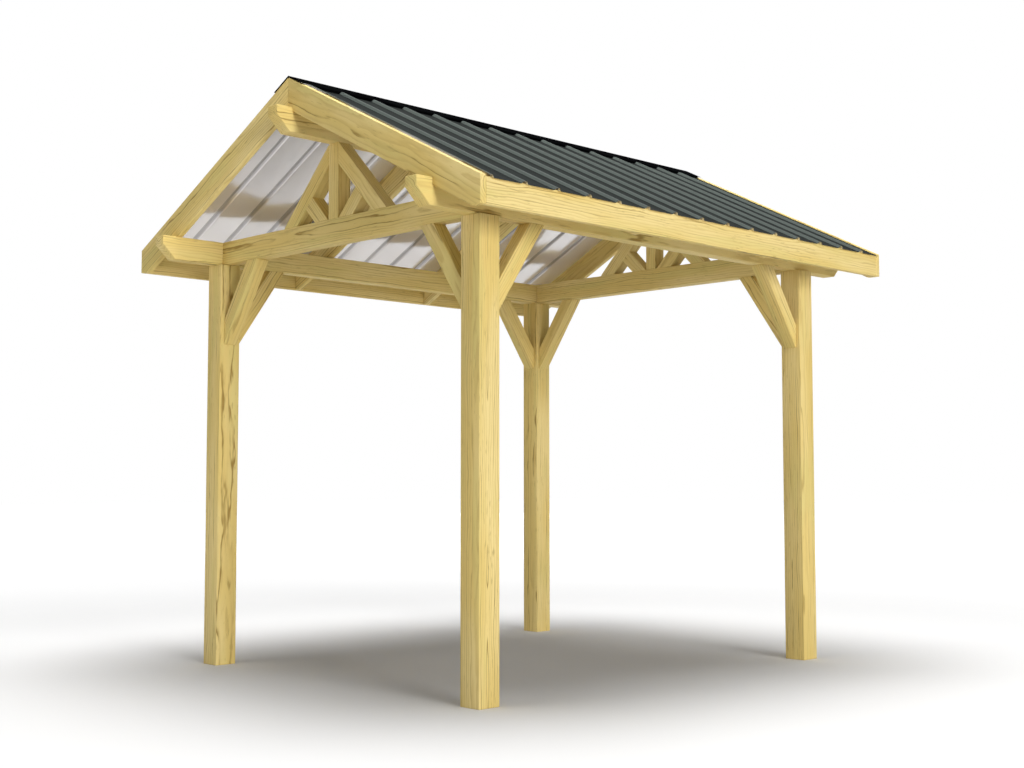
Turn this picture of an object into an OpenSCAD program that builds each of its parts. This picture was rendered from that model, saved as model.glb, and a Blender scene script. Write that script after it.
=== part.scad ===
// Open gable pergola: posts, plates, a ridge beam, two strutted gable frames, rafters and a ribbed metal roof.
// Millimetres. X runs across the gable, Y along the ridge, Z up.
// The origin is on the ground, in the middle between the four posts.

/* [Posts] */
// Side of each square post
post_size = 140; // [100:5:200]
// Height of the posts, from the ground to the underside of the plates
post_h = 2465; // [2100:5:3000]
// Distance between post centres across the gable
span_x = 2360; // [2000:10:3200]
// Distance between post centres along the ridge
span_y = 2770; // [2000:10:4000]

/* [Beams] */
// Thickness of the plates, ridge beam, tie beams and everything in the gable frames
timber_t = 89; // [60:1:120]
// Depth of the plates and the tie beams
plate_h = 140; // [100:5:200]
// Depth of the ridge beam
ridge_h = 140; // [100:5:200]
// How far the plates and the ridge beam run past the post centres
tail = 463; // [380:1:650]
// Size of the slanting cut under the beam tails
tail_cut = 87; // [40:1:95]

/* [Roof frame] */
// Slope of the roof, in degrees
pitch = 26.565; // [20:0.5:35]
// Height of the barge board's top edge above the outer corner of the plate
heel_h = 138; // [110:1:180]
// Drop from the peak of the barge boards to the top of the ridge beam
ridge_drop = 176; // [150:1:220]
// Distance from the post centres out to the face of the fascia
eave_run = 391; // [300:1:550]
// Distance that the beam tails stand out in front of the barge boards
barge_set_back = 102; // [60:1:180]
// Thickness of the barge boards
barge_t = 38; // [25:1:60]
// Depth of the barge boards, square to the slope
barge_h = 159; // [130:1:190]
// Thickness of the fascia boards
fascia_t = 38; // [20:1:60]
// Height of the outer face of the fascia boards
fascia_h = 134; // [110:1:190]
// Thickness of the rafters
rafter_t = 38; // [25:1:60]
// Depth of the rafters, square to the slope
rafter_h = 150; // [120:1:190]

/* [Gable frames] */
// Width of the king posts
king_w = 89; // [60:1:120]
// Width of the long struts, in the plane of the frame
strut_w = 89; // [60:1:100]
// Angle of the long struts above the tie beam, in degrees
strut_angle = 45; // [40:1:60]
// Width of the short web struts
web_w = 89; // [50:1:100]
// Gap on the tie beam between the king post and the upper side of the web strut
web_gap = 5; // [0:1:30]

/* [Knee braces] */
// Width of the knee braces, in their own plane
brace_w = 89; // [60:1:120]
// How far a brace reaches along the beam from the face of the post
brace_run = 352; // [280:1:500]
// How far a brace reaches down the post from the underside of the beam
brace_drop = 508; // [350:1:700]

/* [Roof sheets] */
// Thickness of the sheet metal
sheet_t = 0.6; // [0.4:0.1:3]
// Height of the ribs
rib_h = 15; // [8:1:35]
// Width of a rib at its foot
rib_foot = 46; // [40:1:80]
// Width of a rib at its crown
rib_crown = 20; // [12:1:35]
// Distance from rib to rib
rib_pitch = 228.6; // [150:0.1:320]
// Distance from the front edge of the sheets to the middle of the first rib
first_rib = 9; // [1:1:10]
// How far the sheets lie below the top edges of the barge boards, square to the slope
sheet_drop = 8; // [0:1:12]
// Gap between the sheets' side edges and the barge boards
rake_gap = 1; // [0.5:0.5:4]
// How far the sheets run past the fascia, along the slope
drip = 18; // [0:1:60]
// Gap between the two sheets at the peak, on each side, along the slope
peak_gap = 25; // [5:1:60]

/* [Ridge cap] */
// Thickness of the ridge cap
cap_t = 0.6; // [0.4:0.1:3]
// Width of each side of the cap, down the slope
cap_side = 152; // [90:1:260]
// Gap between the hem at the cap's edges, which is bent down, and the pans of the sheets
hem_gap = 2; // [0.5:0.5:6]
// Gap between the notches in the hem and the ribs that pass through them
notch_gap = 2; // [1:0.5:5]

/* [Hidden] */
plate_z = post_h;
plate_top = plate_z + plate_h;
plate_x = span_x / 2;
frame_y = span_y / 2;
tail_end = frame_y + tail;
barge_y = tail_end - barge_set_back;
eave_x = plate_x + eave_run;
slope = tan(pitch);
// Peak of the barge boards, and of the plane that the sheets lie on
peak_z = plate_top + heel_h + (plate_x + timber_t / 2) * slope;
deck_z = peak_z - sheet_drop / cos(pitch);
eave_z = deck_z - eave_x * slope;
fascia_z = eave_z - fascia_h;
// Two pairs of rafters divide the roof between the barge boards into thirds
rafter_y = (barge_y - barge_t / 2) / 3;
ridge_top = peak_z - ridge_drop;
ridge_z = ridge_top - ridge_h;
king_h = ridge_z - plate_top;
strut_foot_out = king_w / 2 + king_h / tan(strut_angle);
strut_foot_in = strut_foot_out - strut_w / sin(strut_angle);
web_foot_in = king_w / 2 + web_gap;
web_foot_out = web_foot_in + web_w / cos(strut_angle);
brace_angle = atan(brace_drop / brace_run);
sheet_half = barge_y - barge_t - rake_gap;
sheet_len = eave_x / cos(pitch) + drip - peak_gap;
rib_last = floor((2 * sheet_half - first_rib - rib_foot) / rib_pitch);
rib_ys = [for (i = [0 : rib_last]) -sheet_half + first_rib + i * rib_pitch];
// Height of the ribs over the boards, where the cap lies, and how far down the slope the cap reaches
cap_seat = rib_h + sheet_t;
cap_run = cap_side - (cap_seat + cap_t) * slope;
cap_peak = deck_z + (cap_seat + cap_t) / cos(pitch);
cap_down = [cos(pitch), -sin(pitch)];
cap_in = [-sin(pitch), -cos(pitch)];
cap_edge = [0, cap_peak] + cap_down * cap_side;
cap_hem = cap_edge + cap_in * (cap_t + rib_h - hem_gap);
cap_edges = [cap_edge, cap_hem, cap_hem - cap_down * cap_t, cap_edge + (cap_in - cap_down) * cap_t];

pine = "#e6cf86";
pine_shade = "#cdb26c";
charcoal = "#3d4240";
black_metal = "#15171a";

// An outline drawn in X and Z, given its thickness along Y around y
module across(y, t) translate([0, y + t / 2, 0]) rotate([90, 0, 0]) linear_extrude(t) children();

// An outline drawn in Y and Z, given its thickness along X around x
module along(x, t) translate([x - t / 2, 0, 0]) rotate([90, 0, 90]) linear_extrude(t) children();

// The left half is the mirror image of the right half, and the front of the back
module on_side(side) mirror([side < 0 ? 1 : 0, 0, 0]) children();
module at_end(end) mirror([0, end < 0 ? 1 : 0, 0]) children();

// Square post, flat on the ground, with its top under the plate
module post(side, end)
    color(pine)
    translate([side * plate_x - post_size / 2, end * frame_y - post_size / 2, 0])
        cube([post_size, post_size, post_h]);

// Side view of a beam that ends in a slanting cut at both tails
module tailed_beam(z, h)
    polygon([
        [-tail_end, z + h], [-tail_end, z + tail_cut], [-tail_end + tail_cut, z],
        [tail_end - tail_cut, z], [tail_end, z + tail_cut], [tail_end, z + h]
    ]);

module plate(side)
    color(pine) along(side * plate_x, timber_t) tailed_beam(plate_z, plate_h);

module ridge_beam()
    color(pine) along(0, timber_t) tailed_beam(ridge_z, ridge_h);

// Tie beam, on the post tops between the two plates
module tie_beam(end)
    color(pine_shade)
    across(end * frame_y, timber_t)
        translate([-plate_x + timber_t / 2, plate_z])
            square([span_x - timber_t, plate_h]);

// King post, from the tie beam up to the ridge beam
module king_post(end)
    color(pine_shade)
    across(end * frame_y, timber_t)
        translate([-king_w / 2, plate_top]) square([king_w, king_h]);

// Long strut, from the head of the king post down to the tie beam
module strut(side, end)
    color(pine_shade)
    on_side(side) across(end * frame_y, timber_t)
        polygon([
            [king_w / 2, ridge_z], [strut_foot_out, plate_top],
            [strut_foot_in, plate_top], [king_w / 2, ridge_z - strut_w / cos(strut_angle)]
        ]);

// Where a side of the web strut that starts at foot on the tie beam meets the long strut
function web_head(foot) =
    [foot, plate_top] + [sin(strut_angle), cos(strut_angle)] * (strut_foot_in - foot) * sin(strut_angle);

// Short web strut, from the foot of the king post out to the long strut, which it meets squarely
module web(side, end)
    color(pine_shade)
    on_side(side) across(end * frame_y, timber_t)
        polygon([
            [web_foot_in, plate_top], [web_foot_out, plate_top],
            web_head(web_foot_out), web_head(web_foot_in)
        ]);

// Outline of a knee brace: the post face is at 0 and the beam's underside at plate_z
module brace_outline()
    polygon([
        [0, plate_z - brace_drop], [brace_run, plate_z],
        [brace_run - brace_w / sin(brace_angle), plate_z],
        [0, plate_z - brace_drop + brace_w / cos(brace_angle)]
    ]);

// Knee brace between a post and the tie beam
module gable_brace(side, end)
    color(pine)
    on_side(side) across(end * frame_y, timber_t)
        translate([plate_x - post_size / 2, 0]) mirror([1, 0]) brace_outline();

// Knee brace between a post and a plate
module side_brace(side, end)
    color(pine)
    at_end(end) along(side * plate_x, timber_t)
        translate([frame_y - post_size / 2, 0]) mirror([1, 0]) brace_outline();

// Outline of a board of depth h whose top edge slopes down from the height top at the ridge, out to run.
// It is notched over the plate and the ridge beam. Its end is plumb, with a level cut at the fascia's lower edge
module sloping_board(top, h, run)
    difference() {
        intersection() {
            polygon([
                [0, top], [run, top - run * slope],
                [run, top - run * slope - h / cos(pitch)], [0, top - h / cos(pitch)]
            ]);
            translate([0, fascia_z]) square([run, top - fascia_z]);
        }
        translate([plate_x - timber_t / 2, plate_z]) square([timber_t, plate_h]);
        translate([-timber_t / 2, ridge_z]) square([timber_t, ridge_h]);
    }

module barge_board(side, end)
    color(pine)
    on_side(side) across(end * (barge_y - barge_t / 2), barge_t) sloping_board(peak_z, barge_h, eave_x);

// Rafter, out to the inner face of the fascia
module rafter(side, end)
    color(pine_shade)
    on_side(side) across(end * rafter_y, rafter_t) sloping_board(deck_z, rafter_h, eave_x - fascia_t);

// Fascia board between the barge boards, with its top edge bevelled to the slope
module fascia(side)
    color(pine)
    on_side(side) across(0, 2 * (barge_y - barge_t))
        polygon([
            [eave_x, fascia_z], [eave_x, eave_z],
            [eave_x - fascia_t, eave_z + fascia_t * slope], [eave_x - fascia_t, fascia_z]
        ]);

// One face of the sheet's section, v over the rafters. Its front edge lies in the crown of the first rib
function sheet_face(v) = [
    for (y = rib_ys, p = [[-rib_foot, 0], [-rib_crown, rib_h], [rib_crown, rib_h], [rib_foot, 0]])
        if (y > rib_ys[0] || p[0] > 0) [y + p[0] / 2, v + p[1]]
];

function reversed(points) = [for (i = [len(points) - 1 : -1 : 0]) points[i]];

// Ribbed roof sheet, from just below the peak to past the fascia
module roof_sheet(side)
    color(charcoal)
    on_side(side) translate([0, 0, deck_z]) rotate([0, pitch, 0]) translate([peak_gap, 0, 0])
        rotate([90, 0, 90]) linear_extrude(sheet_len)
            polygon(concat(
                [[-sheet_half, rib_h]], sheet_face(0), [[sheet_half, 0], [sheet_half, sheet_t]],
                reversed(sheet_face(sheet_t)), [[-sheet_half, rib_h + sheet_t]]
            ));

function mirrored(points) = [for (p = points) [-p[0], p[1]]];

// Notches in the hem of the ridge cap, around the ribs of the sheet under it and over the barge boards
module hem_notches(side)
    on_side(side) translate([0, 0, deck_z]) rotate([0, pitch, 0]) translate([cap_run - 2 * cap_t, 0, 0])
        rotate([90, 0, 90]) linear_extrude(3 * cap_t) {
            for (y = rib_ys)
                polygon([
                    [y - rib_foot / 2 - notch_gap, 0], [y - rib_crown / 2 - notch_gap, cap_seat],
                    [y + rib_crown / 2 + notch_gap, cap_seat], [y + rib_foot / 2 + notch_gap, 0]
                ]);
            for (y = [-barge_y - notch_gap, barge_y - barge_t - notch_gap])
                translate([y, 0]) square([barge_t + 2 * notch_gap, cap_seat]);
        }

// Ridge cap: a folded sheet that lies on the ribs, with a hem down to the pans at both edges
module ridge_cap()
    color(black_metal)
    difference() {
        across(0, 2 * barge_y)
            polygon(concat(
                [[0, cap_peak]], cap_edges,
                [[0, cap_peak - cap_t / cos(pitch)]], reversed(mirrored(cap_edges))
            ));
        hem_notches(-1);
        hem_notches(1);
    }

post(-1, -1);  // post_front_left
post(1, -1);  // post_front_right
post(-1, 1);  // post_back_left
post(1, 1);  // post_back_right
plate(-1);  // plate_left
plate(1);  // plate_right
ridge_beam();
tie_beam(-1);  // tie_beam_front
tie_beam(1);  // tie_beam_back
king_post(-1);  // king_post_front
king_post(1);  // king_post_back
strut(-1, -1);  // strut_front_left
strut(1, -1);  // strut_front_right
strut(-1, 1);  // strut_back_left
strut(1, 1);  // strut_back_right
web(-1, -1);  // web_front_left
web(1, -1);  // web_front_right
web(-1, 1);  // web_back_left
web(1, 1);  // web_back_right
gable_brace(-1, -1);  // gable_brace_front_left
gable_brace(1, -1);  // gable_brace_front_right
gable_brace(-1, 1);  // gable_brace_back_left
gable_brace(1, 1);  // gable_brace_back_right
side_brace(-1, -1);  // side_brace_front_left
side_brace(1, -1);  // side_brace_front_right
side_brace(-1, 1);  // side_brace_back_left
side_brace(1, 1);  // side_brace_back_right
barge_board(-1, -1);  // barge_board_front_left
barge_board(1, -1);  // barge_board_front_right
barge_board(-1, 1);  // barge_board_back_left
barge_board(1, 1);  // barge_board_back_right
rafter(-1, -1);  // rafter_front_left
rafter(1, -1);  // rafter_front_right
rafter(-1, 1);  // rafter_back_left
rafter(1, 1);  // rafter_back_right
fascia(-1);  // fascia_left
fascia(1);  // fascia_right
roof_sheet(-1);  // roof_sheet_left
roof_sheet(1);  // roof_sheet_right
ridge_cap();
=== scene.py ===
import math

import bmesh
import bpy
import numpy as np
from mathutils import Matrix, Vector


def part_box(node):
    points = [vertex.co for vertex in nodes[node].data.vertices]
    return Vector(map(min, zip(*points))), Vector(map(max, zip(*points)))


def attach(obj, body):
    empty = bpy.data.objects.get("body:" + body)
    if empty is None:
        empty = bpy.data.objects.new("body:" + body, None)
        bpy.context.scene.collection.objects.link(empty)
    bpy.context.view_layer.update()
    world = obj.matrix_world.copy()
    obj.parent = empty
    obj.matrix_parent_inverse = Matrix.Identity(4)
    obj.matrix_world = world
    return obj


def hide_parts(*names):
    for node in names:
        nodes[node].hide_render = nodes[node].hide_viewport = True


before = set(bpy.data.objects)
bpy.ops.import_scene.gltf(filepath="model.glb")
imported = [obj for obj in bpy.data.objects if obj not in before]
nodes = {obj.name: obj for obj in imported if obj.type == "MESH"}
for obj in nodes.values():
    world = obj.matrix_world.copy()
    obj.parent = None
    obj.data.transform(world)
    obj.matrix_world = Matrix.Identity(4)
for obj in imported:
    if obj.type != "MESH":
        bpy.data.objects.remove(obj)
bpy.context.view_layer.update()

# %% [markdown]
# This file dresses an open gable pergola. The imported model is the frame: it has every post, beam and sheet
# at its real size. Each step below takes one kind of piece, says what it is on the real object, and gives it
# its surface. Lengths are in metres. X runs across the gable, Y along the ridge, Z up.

# %% [markdown]
# Shader maths reads best as a formula. A small class wraps a socket, so that `a * b + 1` adds its Math nodes.
# Any other node comes from one method, which takes the node's type, its settings and the values or links of
# its sockets.

# %% A socket that can be reckoned with
class Value:
    """One output of a node in a material's tree, with the operators that the finishes use."""

    def __init__(self, tree, socket):
        self.tree = tree
        self.socket = socket

    def node(self, kind, out=0, settings=None, **sockets):
        """Adds a node of this kind. Settings are set first, then the sockets by name, or by number after a low
        line."""
        made = self.tree.nodes.new(kind)
        for name, setting in (settings or {}).items():
            setattr(made, name, setting)
        for name, value in sockets.items():
            key = int(name[1:]) if name[0] == "_" else name.replace("_", " ")
            self.feed(made.inputs[key], value)
        return Value(self.tree, made.outputs[out])

    def feed(self, socket, value):
        """Links a value into a socket, or sets the socket to a plain number or colour."""
        if isinstance(value, Value):
            self.tree.links.new(value.socket, socket)
        else:
            socket.default_value = value

    def math(self, operation, *values, clamp=False):
        """One Math node on values and numbers."""
        return self.node("ShaderNodeMath", settings={"operation": operation, "use_clamp": clamp},
                         **{f"_{at}": value for at, value in enumerate(values)})

    def __add__(self, other):
        return self.math("ADD", self, other)

    def __radd__(self, other):
        return self.math("ADD", other, self)

    def __sub__(self, other):
        return self.math("SUBTRACT", self, other)

    def __rsub__(self, other):
        return self.math("SUBTRACT", other, self)

    def __mul__(self, other):
        return self.math("MULTIPLY", self, other)

    def __rmul__(self, other):
        return self.math("MULTIPLY", other, self)

    def between(self, low, high):
        """A smooth step: 0 below low, 1 above high, with a soft change between them."""
        return self.node("ShaderNodeMapRange", settings={"interpolation_type": "SMOOTHSTEP"},
                         Value=self, From_Min=low, From_Max=high)

    def mix(self, low, high):
        """The colour low where this value is 0 and the colour high where it is 1."""
        return self.node("ShaderNodeMix", out=2, settings={"data_type": "RGBA"},
                         Factor=self, _6=low, _7=high)

    def stretched(self, factors):
        """This place with each of its three lengths times a factor."""
        return self.node("ShaderNodeVectorMath", settings={"operation": "MULTIPLY"}, _0=self, _1=factors)

    def noise(self, size, detail=2.0, rough=0.5):
        """Soft noise at this place, whose patches are about this many metres across."""
        return self.node("ShaderNodeTexNoise", Vector=self, Scale=1 / size, Detail=detail, Roughness=rough)

    def attribute(self, name, out):
        """A value that the mesh carries: its vector is output 1 and its number output 2."""
        return self.node("ShaderNodeAttribute", out=out, settings={"attribute_name": name})

    def seen(self):
        """1 for rays from the camera and from mirrors, 0 for the light that falls on things."""
        rays = self.node("ShaderNodeLightPath").socket.node.outputs
        straight = Value(self.tree, rays["Is Camera Ray"])
        mirrored = self.math("MAXIMUM", Value(self.tree, rays["Is Glossy Ray"]),
                             Value(self.tree, rays["Is Transmission Ray"]))
        return self.math("MAXIMUM", straight, mirrored)


def paint(name):
    """A new material with one Principled shader. Returns the material, its shader node and a Value to start
    from."""
    material = bpy.data.materials.new(name)
    material.use_nodes = True
    tree = material.node_tree
    shader = tree.nodes["Principled BSDF"]
    return material, shader, Value(tree, shader.outputs[0])


def colour(text):
    """An sRGB colour such as e6cf86 as the linear red, green, blue and alpha that shaders work in."""
    parts = np.array([int(text[at:at + 2], 16) for at in (0, 2, 4)]) / 255
    linear = np.where(parts <= 0.04045, parts / 12.92, ((parts + 0.055) / 1.055) ** 2.4)
    return (*linear.tolist(), 1)


# %% [markdown]
# Softwood is cut from a log, and its lines are the log's growth rings where the saw went through them. So each
# piece carries an attribute, `grain`, which says where each of its points lies in a log of its own: x runs
# along the log, and y and z across it. The finish draws rings around the log's middle, and the faces of the
# piece show them as long lines, arches or, on the sawn ends, as arcs. A flat picture of planks would break at
# every edge.

# %% Pine
GRAIN = "grain"
RING = 0.014             # from one growth ring to the next
STRETCH = (0.15, 1, 1)   # waves in the rings are much longer along the log than across it
RESIN = (0.09, 1, 1)     # and the stretches of dark resin are longer still
FIBRES = (0.03, 1, 1)    # and the fibres longest
BENDS = ((0.045, 0.34), (0.040, 0.09), (0.018, 0.034))   # how far waves shift the rings, and their sizes
KNOTS = 3.1              # cells of one knot each in a metre, across the log

LIGHT_WOOD = colour("ecd693")
WARM_WOOD = colour("e3c97c")
GREEN_WOOD = colour("dccb80")
RING_LINE = colour("cbac62")
OLIVE = colour("927233")
KNOT = colour("9a6f3a")


def pine():
    """Planed pine: soft rings, long olive-brown lines where resin lies in a ring, fine fibres and a few small
    knots."""
    material, shader, make = paint("pine")
    place = make.attribute(GRAIN, 1)
    slow = place.stretched(STRETCH)
    resin_way = place.stretched(RESIN)

    across = make.node("ShaderNodeSeparateXYZ", out=1, Vector=place)
    up = Value(make.tree, across.socket.node.outputs[2])
    bent = make.math("SQRT", across * across + up * up)
    for shift, size in BENDS:
        bent = bent + shift * slow.noise(size)
    turns = bent * (1 / RING)
    ring = make.math("FRACT", turns)
    late = ring.between(0.3, 0.85) * (1 - ring.between(0.86, 1.0))

    pick = make.node("ShaderNodeTexWhiteNoise", settings={"noise_dimensions": "1D"},
                     W=make.math("FLOOR", turns))
    line = ring.between(0.6, 0.8) * (1 - ring.between(0.82, 0.97))
    streak = line * (0.12 + 0.88 * pick.between(0.5, 0.85))
    dark = streak * resin_way.noise(0.05, 3.0, 0.6).between(0.4, 0.56)
    fleck = resin_way.noise(0.007).between(0.62, 0.72) * slow.noise(0.12).between(0.35, 0.6)
    fibre = place.stretched(FIBRES).noise(0.0016, 3.0, 0.6)
    spots = make.node("ShaderNodeTexVoronoi", settings={"feature": "F1"}, Vector=slow, Scale=KNOTS)
    near = Value(make.tree, spots.socket.node.outputs["Distance"])
    knot = (1 - near.between(0.018, 0.04)) * 0.8

    base = slow.noise(0.16).between(0.35, 0.65).mix(LIGHT_WOOD, WARM_WOOD)
    tinted = (slow.noise(0.11).between(0.5, 0.7) * 0.7).mix(base, GREEN_WOOD)
    lined = (late * 0.34).mix(tinted, RING_LINE)
    streaked = (dark * 0.85).mix(lined, OLIVE)
    flecked = (fleck * 0.45).mix(streaked, OLIVE)
    fibred = (fibre.between(0.5, 0.75) * 0.16).mix(flecked, RING_LINE)
    make.feed(shader.inputs["Base Color"], knot.mix(fibred, KNOT))
    make.feed(shader.inputs["Roughness"], 0.62 - 0.12 * dark + 0.1 * fibre)
    height = late * 0.35 + dark * -0.5 + fibre * 0.5 + knot * -0.4
    bump = make.node("ShaderNodeBump", Height=height, Strength=0.35, Distance=0.0006)
    make.feed(shader.inputs["Normal"], bump)
    shader.inputs["Specular IOR Level"].default_value = 0.15
    print("made the finish", material.name)
    return material


wood = pine()

# %% [markdown]
# The timber is sawn and planed square, and its edges are eased, because sharp arrises splinter. A plain box has
# none of that, so each timber is made again here: its side outline is read from the frame, its corners are
# rounded, and the edge's quarter circle is carried round the outline. The new piece then stands for the
# frame's own node.

# %% Outlines read from the frame
X, Y, Z = 0, 1, 2
PLANES = {X: (Y, Z), Y: (Z, X), Z: (X, Y)}


def outline_of(node, axis):
    """The side view of a node along an axis: the corners, in order, of its flat face at the axis's low
    end."""
    mesh = bmesh.new()
    mesh.from_mesh(nodes[node].data)
    bmesh.ops.remove_doubles(mesh, verts=mesh.verts, dist=1e-5)
    bmesh.ops.dissolve_limit(mesh, angle_limit=0.01, verts=mesh.verts, edges=mesh.edges)
    side = min(mesh.faces, key=lambda face: (round(face.calc_center_median()[axis], 4), -face.calc_area()))
    ring = np.array([corner.vert.co[:] for corner in side.loops])[:, PLANES[axis]]
    mesh.free()
    return ring if turning(ring) > 0 else ring[::-1]


def turning(ring):
    """Twice the area that the ring goes round, positive where it goes anticlockwise."""
    after = np.roll(ring, -1, axis=0)
    return float((ring[:, 0] * after[:, 1] - ring[:, 1] * after[:, 0]).sum())


print("the side of a plate has", len(outline_of("plate_left", X)), "corners")

# %% Rounded timbers
EASE = 0.004     # radius of the eased edges
STEPS = 3        # faces across each eased edge


def corner_frames(ring):
    """At each corner, the outward normals of the side before it and of the side after it."""
    after = np.roll(ring, -1, axis=0) - ring
    after = after / np.linalg.norm(after, axis=1)[:, None]
    normal = np.stack([after[:, 1], -after[:, 0]], axis=1)
    return np.roll(normal, 1, axis=0), normal


def rounded(ring, radius):
    """Each corner becomes an arc. Its centre lies one radius inside both sides, at the corner minus radius
    times (n1 + n2) / (1 + n1.n2), and each point of the arc stands one radius off the centre, along a normal
    that turns from n1 to n2. Returns the centres and the unit normals. A hollow corner stays sharp: its points
    lie on one spot."""
    first, second = corner_frames(ring)
    share = np.linspace(0, 1, STEPS + 1)[None, :, None]
    reach = (first + second) / (1 + (first * second).sum(axis=1))[:, None]
    hollow = (first[:, 0] * second[:, 1] - first[:, 1] * second[:, 0] < 0)[:, None, None]
    blend = first[:, None] * (1 - share) + second[:, None] * share
    blend = blend / np.linalg.norm(blend, axis=2)[:, :, None]
    outward = np.where(hollow, reach[:, None] + 0 * blend, blend)
    centres = ring[:, None] - radius * reach[:, None] + 0 * blend
    return centres.reshape(-1, 2), outward.reshape(-1, 2)


def prism(ring, low, high, ease=EASE):
    """A board with eased edges. A quarter circle runs round the outline at both faces: at the angle a, the
    outline stands ease * (1 - sin a) inside its full size and ease * (1 - cos a) inside the face. Returns the
    points as rows of (side, side, along) and the faces, with a flat face closing each end."""
    centres, outward = rounded(ring, ease)
    angle = np.linspace(0, math.pi / 2, STEPS + 1)
    out = np.concatenate([np.sin(angle), np.sin(angle[::-1])])
    along = np.concatenate([low + ease * (1 - np.cos(angle)), high - ease * (1 - np.cos(angle[::-1]))])
    flat = centres[None] + ease * out[:, None, None] * outward[None]
    points = np.concatenate([flat, np.broadcast_to(along[:, None, None], (*flat.shape[:2], 1))], axis=2)
    rows, count = flat.shape[:2]
    here = np.arange(rows - 1)[:, None] * count + np.arange(count)[None]
    onward = np.arange(rows - 1)[:, None] * count + (np.arange(count)[None] + 1) % count
    quads = np.stack([here, onward, onward + count, here + count], axis=2).reshape(-1, 4).tolist()
    ends = [list(range(count))[::-1], list(range((rows - 1) * count, rows * count))]
    return points.reshape(-1, 3), quads + ends


def new_mesh(name, points, faces, smooth=True):
    """A mesh object from arrays, with doubles merged and its normals made to point outwards."""
    mesh = bpy.data.meshes.new(name)
    mesh.from_pydata(points, [], faces)
    work = bmesh.new()
    work.from_mesh(mesh)
    bmesh.ops.remove_doubles(work, verts=work.verts, dist=1e-6)
    bmesh.ops.recalc_face_normals(work, faces=work.faces)
    work.to_mesh(mesh)
    work.free()
    if smooth:
        mesh.shade_smooth()
        mesh.set_sharp_from_angle(angle=math.radians(40))
    made = bpy.data.objects.new(name, mesh)
    bpy.context.scene.collection.objects.link(made)
    return made


def places_of(mesh):
    """The points of a mesh as one array."""
    flat = np.zeros(len(mesh.vertices) * 3, np.float32)
    mesh.vertices.foreach_get("co", flat)
    return flat.reshape(-1, 3).astype(float)


# %% [markdown]
# Each timber gets its own log. Its length runs along the longest side of the outline, or along the extrusion
# where that is longer. The middle of the log lies off to one side, as it does in sawn timber, and a seeded
# random shift keeps two neighbours from showing the same lines.

# %% Grain
logs = np.random.default_rng(7)


def set_grain(piece, along):
    """Stores each point's place in its log: its distances along the grain and along two ways square to it,
    plus a random start along the log and a random offset of the log's middle."""
    mesh = piece.data
    along = np.array(along, float) / np.linalg.norm(along)
    side = np.cross(along, [0, 0, 1]) if abs(along[2]) < 0.9 else np.array([1.0, 0, 0])
    side = side / np.linalg.norm(side)
    basis = np.stack([along, side, np.cross(along, side)], axis=1)
    places = places_of(mesh)
    middle = (places.min(axis=0) + places.max(axis=0)) / 2
    turn = logs.uniform(0, 2 * math.pi)
    off = logs.uniform(0.05, 0.11)
    shift = np.array([logs.uniform(0, 40), off * math.cos(turn), off * math.sin(turn)])
    grain = (places - middle) @ basis + shift
    data = mesh.attributes.new(GRAIN, "FLOAT_VECTOR", "POINT")
    data.data.foreach_set("vector", grain.astype(np.float32).ravel())


def timber(node, axis):
    """Makes one timber again with eased edges, from its outline across the axis, and lets it stand for the
    node."""
    low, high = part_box(node)
    ring = outline_of(node, axis)
    points, faces = prism(ring, low[axis], high[axis])
    across, up = PLANES[axis]
    placed = np.zeros_like(points)
    placed[:, across] = points[:, 0]
    placed[:, up] = points[:, 1]
    placed[:, axis] = points[:, 2]
    piece = new_mesh(node.replace("_", "-"), placed, faces)
    sides = np.roll(ring, -1, axis=0) - ring
    longest = sides[np.argmax(np.linalg.norm(sides, axis=1))]
    along = np.zeros(3)
    if high[axis] - low[axis] > np.linalg.norm(longest):
        along[axis] = 1
    else:
        along[across], along[up] = longest
    set_grain(piece, along)
    piece.data.materials.append(wood)
    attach(piece, "root")
    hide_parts(node)
    return piece


# Each kind of timber and the axis that its outline is seen along
TIMBERS = {"post": Z, "plate": X, "ridge_beam": X, "tie_beam": Y, "king_post": Y, "strut": Y, "web": Y,
           "gable_brace": Y, "side_brace": X, "barge_board": Y, "rafter": Y, "fascia": Y}

made_timbers = [timber(node, axis) for kind, axis in TIMBERS.items()
                for node in sorted(nodes) if node.startswith(kind)]
print("made", len(made_timbers), "timbers with eased edges")

# %% [markdown]
# The roof sheets are rolled steel, painted charcoal on top and off-white below. The real bends are rounded,
# which is what catches the light along each rib, so the section is worked out again with arcs at its bends and
# carried down the slope. The top and the underside are one closed skin with two finishes.

# %% Charcoal top, off-white underside, black cap
RIB = "rib"         # how high a point stands on its rib: 0 on the pans, 1 on the crowns
MOTTLE = 1 / 340    # size of the fine mottle in the paint


def charcoal():
    """Satin charcoal paint: a faint mottle, dusty streaks down the slope, and painted light and shade: the ribs
    are painted a paler grey, as if lit, and the pans a darker charcoal, as painted shade behind the ribs."""
    material, shader, make = paint("charcoal")
    place = make.node("ShaderNodeTexCoord", out=3)
    dust_and_painted_shade = place.stretched((1.2, 26, 1.2)).noise(1.0, 4.0, 0.6)
    mottle = place.noise(MOTTLE)
    # Painted light and shade: the pans take near-black charcoal and the ribs a paler grey, which stands in for
    # light on the ribs and shade on the pans.
    pans = dust_and_painted_shade.between(0.35, 0.7).mix(colour("171a19"), colour("232725"))
    painted_rib_light = make.attribute(RIB, 2).between(0.05, 0.25)
    make.feed(shader.inputs["Base Color"], (painted_rib_light * 0.9).mix(pans, colour("585f5b")))
    make.feed(shader.inputs["Roughness"], 0.5 + 0.16 * dust_and_painted_shade + 0.08 * mottle)
    bump = make.node("ShaderNodeBump", Height=mottle, Strength=0.15, Distance=0.0003)
    make.feed(shader.inputs["Normal"], bump)
    shader.inputs["Specular IOR Level"].default_value = 0.01
    return material


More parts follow.
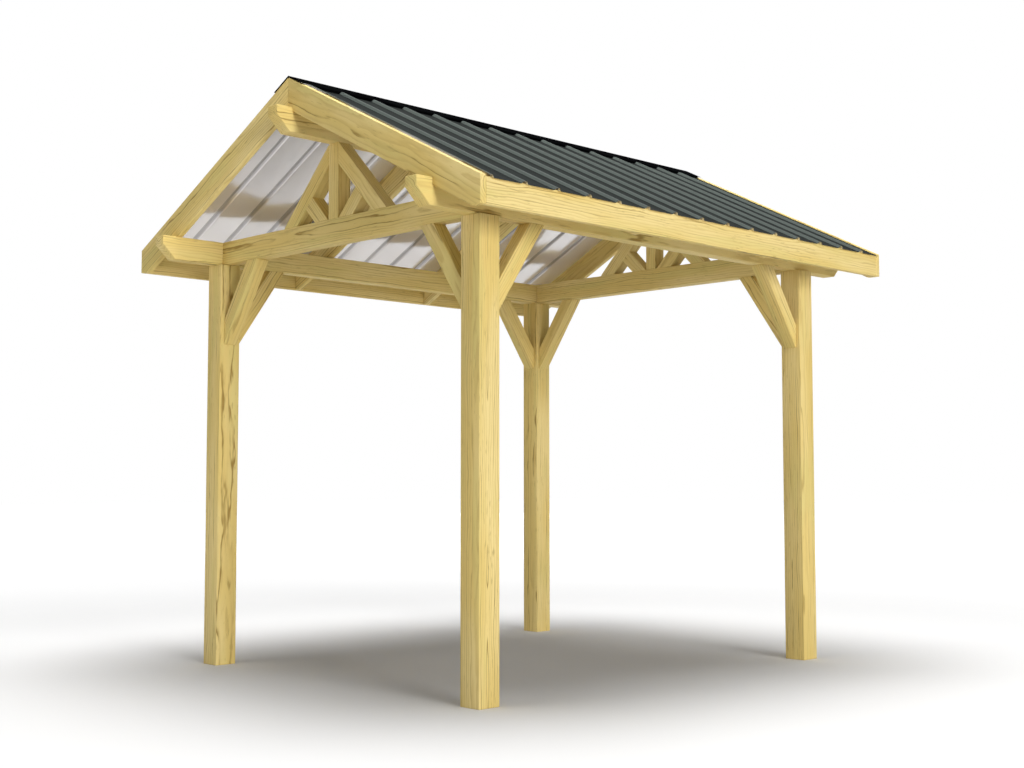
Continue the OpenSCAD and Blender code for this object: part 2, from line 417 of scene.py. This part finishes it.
def off_white():
    """The smooth coating of the underside: off-white, nearly a mirror, with a slow unevenness. The ribs are
    hollow from below, and their hollows are painted grey as shade."""
    material, shader, make = paint("off_white")
    cloud = make.node("ShaderNodeTexCoord", out=3).noise(1 / 2.2, 3.0)
    base = cloud.between(0.35, 0.65).mix(colour("e9e6e6"), colour("f1efef"))
    # Painted shade: seen from below, the rib hollows are greyed to stand in for the shade inside them.
    dust_and_painted_shade = make.attribute(RIB, 2).between(0.1, 0.6) * 0.7
    make.feed(shader.inputs["Base Color"], dust_and_painted_shade.mix(base, colour("a19fa0")))
    make.feed(shader.inputs["Metallic"], 0.5 + 0.16 * cloud)
    make.feed(shader.inputs["Roughness"], 0.1 + 0.08 * cloud)
    return material


def black_paint():
    """Matt black paint with a fine mottle."""
    material, shader, make = paint("black_paint")
    place = make.node("ShaderNodeTexCoord", out=3)
    mottle = place.noise(1 / 300)
    cloud = place.noise(0.2, 3.0)
    make.feed(shader.inputs["Base Color"], cloud.between(0.3, 0.7).mix(colour("050506"), colour("0a0b0c")))
    make.feed(shader.inputs["Roughness"], 0.7 + 0.14 * mottle)
    bump = make.node("ShaderNodeBump", Height=mottle, Strength=0.12, Distance=0.0003)
    make.feed(shader.inputs["Normal"], bump)
    shader.inputs["Specular IOR Level"].default_value = 0.0
    return material


roof_top, roof_under, cap_black = charcoal(), off_white(), black_paint()
print("made the finishes", roof_top.name, roof_under.name, cap_black.name)

# %% The section of a ribbed sheet
RIB_H = 0.015         # height of the ribs
RIB_FOOT = 0.046      # width of a rib at its foot
RIB_CROWN = 0.020     # width of a rib at its crown
RIB_PITCH = 0.2286    # from rib to rib
FIRST_RIB = 0.009     # from the front edge of a sheet to the middle of its first rib
RIBS = 15
SHEET_T = 0.0006      # thickness of the sheet
RAKE_GAP = 0.001      # between a sheet's side edge and the barge board
BEND = 0.004          # radius of the rolled bends, at the middle of the sheet
ARC = 4               # faces across each bend


def sheet_line(half):
    """The middle of the sheet's thickness, as a bent line from edge to edge. Each rib is four bends, at half
    its foot and half its crown to both sides of its middle, and the front edge lies in the crown of the first.
    Each bend is an arc: its centre stands one radius off both straights, at the corner minus
    turn * radius * (n1 + n2) / (1 + n1.n2), where n1 and n2 are the straights' upward normals and turn is 1
    where the line bends down and -1 where it bends up. Returns the points and their normals."""
    rib = np.array([[-RIB_FOOT / 2, 0], [-RIB_CROWN / 2, RIB_H], [RIB_CROWN / 2, RIB_H], [RIB_FOOT / 2, 0]])
    middles = -half + FIRST_RIB + np.arange(RIBS) * RIB_PITCH
    bends = (rib[None] + np.stack([middles, 0 * middles], axis=1)[:, None]).reshape(-1, 2)[2:]
    corners = np.concatenate([[[-half, RIB_H]], bends, [[half, 0]]]) + [0, SHEET_T / 2]
    way = np.diff(corners, axis=0)
    way = way / np.linalg.norm(way, axis=1)[:, None]
    normal = np.stack([-way[:, 1], way[:, 0]], axis=1)
    first, second = normal[:-1], normal[1:]
    turn = np.sign(first[:, 1] * second[:, 0] - first[:, 0] * second[:, 1])[:, None]
    centre = corners[1:-1] - turn * BEND * (first + second) / (1 + (first * second).sum(axis=1))[:, None]
    share = np.linspace(0, 1, ARC + 1)[None, :, None]
    arc = first[:, None] * (1 - share) + second[:, None] * share
    arc = arc / np.linalg.norm(arc, axis=2)[:, :, None]
    points = centre[:, None] + (turn * BEND)[:, None] * arc
    points = np.concatenate([corners[:1], points.reshape(-1, 2), corners[-1:]])
    normals = np.concatenate([normal[:1], arc.reshape(-1, 2), normal[-1:]])
    return points, normals


barge_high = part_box("barge_board_front_right")[1]
fascia_low, fascia_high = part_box("fascia_right")
half_sheet = -barge_high[Y] - RAKE_GAP
line, line_normals = sheet_line(half_sheet)
print("the section of a sheet has", len(line), "points and is", round(2 * half_sheet, 3), "m wide")

# %% Ribbed sheets
ROWS = 36             # lengths down the slope
WAVE = 0.0005         # how far the flat pans stray from a true plane
WAVES_ACROSS = 2.3    # how fast the waves follow each other across the sheet, in radians a metre
WAVES_DOWN = 5.2      # and down the slope
WAVES_SLANT = 3.1     # and how much they slant


def square_height(places, side, square):
    """How high points stand off the pans: the part of their way from the peak that runs square to the slope,
    less the lift of the waves and the sheet's thickness."""
    return places[:, X] * side * square[0] + (places[:, Z] - peak) * square[1] - WAVE - SHEET_T


def sheet(node, side, start, length, down, square):
    """Carries the section down the slope. A point is the peak, plus its distance down the slope times the
    slope's direction, plus its height times the direction square to the slope, and half the thickness above or
    below. Slow waves a fraction of a millimetre high make the underside mirror like rolled steel. Two finishes:
    top and underside."""
    run = start + np.linspace(0, length, ROWS + 1)
    skins = np.concatenate([line + line_normals * SHEET_T / 2, (line - line_normals * SHEET_T / 2)[::-1]])
    across, height = np.broadcast_arrays(skins[None, :, 0], skins[None, :, 1] + 0 * run[:, None])
    swell = np.sin(across * WAVES_ACROSS + 1.1)
    wave = WAVE * swell * np.sin(run[:, None] * WAVES_DOWN + across * WAVES_SLANT)
    on_pan = (height < RIB_H / 2) * (across ** 2 < (half_sheet - RIB_FOOT) ** 2)
    lifted = height + WAVE + wave * on_pan
    points = np.stack([side * (run[:, None] * down[0] + lifted * square[0]), across,
                       peak + run[:, None] * down[1] + lifted * square[1]], axis=2)
    count = len(skins)
    row = np.arange(ROWS)[:, None] * count
    here = row + np.arange(count)[None]
    onward = row + (np.arange(count)[None] + 1) % count
    quads = np.stack([here, onward, onward + count, here + count], axis=2)
    half = np.arange(count // 2 - 1)
    end = np.stack([half, half + 1, count - 2 - half, count - 1 - half], axis=1)
    faces = np.concatenate([quads.reshape(-1, 4), end, end + ROWS * count])
    piece = new_mesh(node.replace("_", "-"), points.reshape(-1, 3), faces.tolist())
    piece.data.materials.append(roof_top)
    piece.data.materials.append(roof_under)
    flat = np.zeros(len(piece.data.polygons) * 3)
    piece.data.polygons.foreach_get("normal", flat)
    under = (flat.reshape(-1, 3) @ np.array([side * square[0], 0, square[1]]) < -0.1).astype(np.int32)
    piece.data.polygons.foreach_set("material_index", under)
    rib = np.clip(square_height(places_of(piece.data), side, square) / RIB_H, 0, 1)
    piece.data.attributes.new(RIB, "FLOAT", "POINT").data.foreach_set("value", rib.astype(np.float32))
    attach(piece, "root")
    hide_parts(node)
    return piece


FASCIA_H = 0.134      # height of the fascia's outer face
eave = (fascia_high[X], fascia_low[Z] + FASCIA_H)
slope = (fascia_high[Z] - eave[1]) / (fascia_high[X] - fascia_low[X])
peak = eave[1] + slope * eave[0]
slope_length = math.hypot(eave[0], peak - eave[1])
down = (eave[0] / slope_length, (eave[1] - peak) / slope_length)
square = (-down[1], down[0])
PEAK_GAP = 0.025      # from the peak down to each sheet
DRIP = 0.018          # how far a sheet runs past the fascia
for node, side in (("roof_sheet_left", -1), ("roof_sheet_right", 1)):
    made = sheet(node, side, PEAK_GAP, slope_length + DRIP - PEAK_GAP, down, square)
    print(made.name, "has", len(made.data.polygons), "faces")

# %% [markdown]
# The ridge cap stays as the frame has it: one folded sheet whose hem is notched around the ribs. It only needs
# paint.

# %% Ridge cap
cap = nodes["ridge_cap"]
cap.data.materials.clear()
cap.data.materials.append(cap_black)
print("painted the cap")

# %% [markdown]
# The studio is plain: a white floor that fades into a white background. Rays from the camera see the floor a
# little brighter than it is, and the more so the farther it lies from the pergola. So it reads as white and
# keeps the shadow, and the light that it throws up under the roof stays natural.

# %% Floor and background
FLOOR_SIZE = 120.0
GLOW = ((1.5, 3.4, 0.14), (4.0, 8.0, 0.21), (6.0, 16.0, 0.65))   # rings: from, to, and how much they add


def floor():
    """A flat pale floor. For the camera and for mirrors, a weak glow lifts it to white around the shadow."""
    material, shader, make = paint("floor")
    shader.inputs["Base Color"].default_value = (0.8, 0.8, 0.8, 1)
    shader.inputs["Roughness"].default_value = 0.9
    shader.inputs["Specular IOR Level"].default_value = 0.0
    place = make.node("ShaderNodeTexCoord", out=3)
    away = make.node("ShaderNodeVectorMath", out=1, settings={"operation": "LENGTH"}, _0=place)
    near, middle, far = [away.between(start, end) * share for start, end, share in GLOW]
    glow = make.node("ShaderNodeEmission", Color=(1, 1, 1, 1), Strength=make.seen() * (near + middle + far))
    both = make.node("ShaderNodeAddShader", _0=make, _1=glow)
    make.feed(material.node_tree.nodes["Material Output"].inputs["Surface"], both)
    half = FLOOR_SIZE / 2
    ground = new_mesh("floor", [(-half, -half, 0), (half, -half, 0), (half, half, 0), (-half, half, 0)],
                      [(0, 1, 2, 3)], smooth=False)
    ground.data.materials.append(material)
    return ground


floor()


def background(light):
    """White for the camera and for mirrors, and an even pale light of this strength for everything else."""
    world = bpy.data.worlds.new("studio")
    bpy.context.scene.world = world
    world.use_nodes = True
    tree = world.node_tree
    make = Value(tree, tree.nodes["Background"].outputs[0])
    back = tree.nodes["Background"]
    back.inputs["Color"].default_value = (1, 1, 1, 1)
    make.feed(back.inputs["Strength"], make.seen() * (1 - light) + light)


background(0.03)


# %% [markdown]
# Five soft lamps light it, all far off and large. The key lamp stands low on the right, where the pergola's
# faces are brightest, with a weaker one above it. The front lamp lights the gable and the back lamp the sides
# turned away. The overhead lamp makes the soft shadow under the roof.

# %% Lamps
def lamp(name, place, target, size, watts):
    """A square area lamp at a place, turned to its target."""
    data = bpy.data.lights.new(name, "AREA")
    data.shape = "SQUARE"
    data.size = size
    data.energy = watts
    made = bpy.data.objects.new(name, data)
    made.location = place
    way = np.array(target, float) - np.array(place, float)
    made.rotation_euler = Vector(way).to_track_quat("-Z", "Y").to_euler()
    bpy.context.scene.collection.objects.link(made)
    return made


lamp("overhead", (0.3, 0.2, 14.0), (0, 0, 0), 9.0, 2150)
lamp("key", (40.0, -8.0, 7.0), (0, 0, 1.6), 14.0, 10200)
lamp("key_high", (24.0, -8.0, 18.0), (0, 0, 1.6), 12.0, 800)
lamp("front", (-8.0, -38.0, 5.0), (0, 0, 1.5), 14.0, 3000)
lamp("back", (-30.0, 28.0, 5.0), (0, 0, 1.5), 14.0, 700)

# %% [markdown]
# The camera stands to the front right of the pergola at breast height, and looks slightly up.

# %% Camera
CAMERA_AT = (6.4235, -6.2428, 1.1161)
LOOK_LEFT = 45.90
LOOK_UP = 3.936
ROLL = 0.035
FOCAL_PIXELS = 1419.77
FRAME_PIXELS = 1024

view = bpy.data.cameras.new("camera")
view.sensor_width = 36
view.lens = FOCAL_PIXELS / FRAME_PIXELS * view.sensor_width
camera = bpy.data.objects.new("camera", view)
camera.location = CAMERA_AT
camera.rotation_euler = (math.radians(90 + LOOK_UP), math.radians(ROLL), math.radians(LOOK_LEFT))
bpy.context.scene.collection.objects.link(camera)
bpy.context.scene.camera = camera
bpy.context.scene.view_settings.view_transform = "Standard"
print("the camera's lens is", round(view.lens, 2), "mm")
